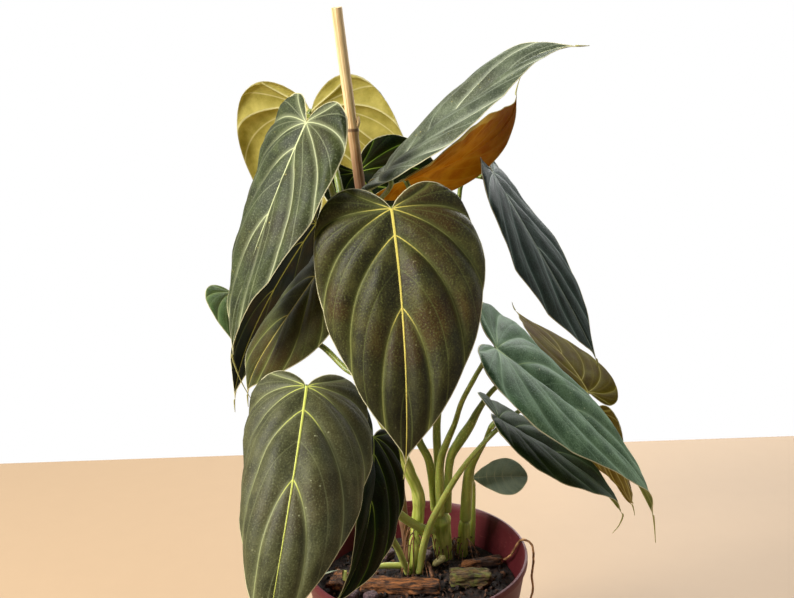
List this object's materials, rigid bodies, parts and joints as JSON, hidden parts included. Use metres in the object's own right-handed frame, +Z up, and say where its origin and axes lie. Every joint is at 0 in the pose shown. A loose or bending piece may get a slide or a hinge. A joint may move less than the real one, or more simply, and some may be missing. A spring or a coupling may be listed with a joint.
{
  "type": "potted black gold philodendron",
  "caption": "Climbing aroid house plant with long heart-shaped velvet leaves, tied to a bamboo cane in a tapered nursery pot of soil.",
  "frame": {"origin": "centre of the pot's flat foot, on the surface the pot stands on", "axes": "+Z up along the pot's axis; -Y is the plant's front, from which the picture looks; +X is to the right as seen from the front"},
  "size_m": [0.2409, 0.2854, 0.3893],
  "materials": {
    "leaf": "velvety upper face with pale veins, matt underside",
    "young_leaf": "satin, blue-green",
    "petiole": "satin green stalk",
    "stem": "satin green stem with pale rings",
    "cane": "dry bamboo, satin",
    "tie": "thin coated wire",
    "pot": "thin moulded plastic, satin",
    "soil": "moist peat with bark chips",
    "bark": "rotten bark, fibrous",
    "mossy_log": "bark with moss",
    "pebble": "fired clay balls, matt",
    "root": "pale fresh root",
    "brown_root": "dry brown root"
  },
  "bodies": {
    "root": {"leaf_upper_left": "leaf", "leaf_back_left": "leaf", "leaf_front_centre": "leaf", "leaf_top_right": "leaf", "leaf_cupped_right": "leaf", "leaf_hanging_right": "leaf", "leaf_low_right": "leaf", "leaf_lowest_right": "leaf", "leaf_back_right": "leaf", "leaf_back_right_low": "leaf", "leaf_low_left": "leaf", "leaf_low_centre": "leaf", "leaf_mid_left": "leaf", "leaf_inner_left": "leaf", "leaf_far_left": "leaf", "leaf_behind_cane": "leaf", "leaf_young_right": "young_leaf", "leaf_young_left": "young_leaf", "petiole_upper_left": "petiole", "petiole_back_left": "petiole", "petiole_front_centre": "petiole", "petiole_top_right": "petiole", "petiole_cupped_right": "petiole", "petiole_hanging_right": "petiole", "petiole_low_right": "petiole", "petiole_lowest_right": "petiole", "petiole_back_right": "petiole", "petiole_back_right_low": "petiole", "petiole_low_left": "petiole", "petiole_low_centre": "petiole", "petiole_mid_left": "petiole", "petiole_inner_left": "petiole", "petiole_far_left": "petiole", "petiole_behind_cane": "petiole", "petiole_young_right": "petiole", "petiole_young_left": "petiole", "stem_climbing": "stem", "stem_middle": "stem", "stem_right": "stem", "bamboo_cane": "cane", "plant_tie": "tie", "pot": "pot", "soil": "soil", "bark_front": "bark", "bark_strip": "bark", "bark_left": "bark", "mossy_log": "mossy_log", "pebble_front": "pebble", "pebble_left": "pebble", "pebble_middle": "pebble", "pebble_back": "pebble", "root_stub": "root", "brown_root": "brown_root", "aerial_root": "brown_root"}
  },
  "joints": []
}
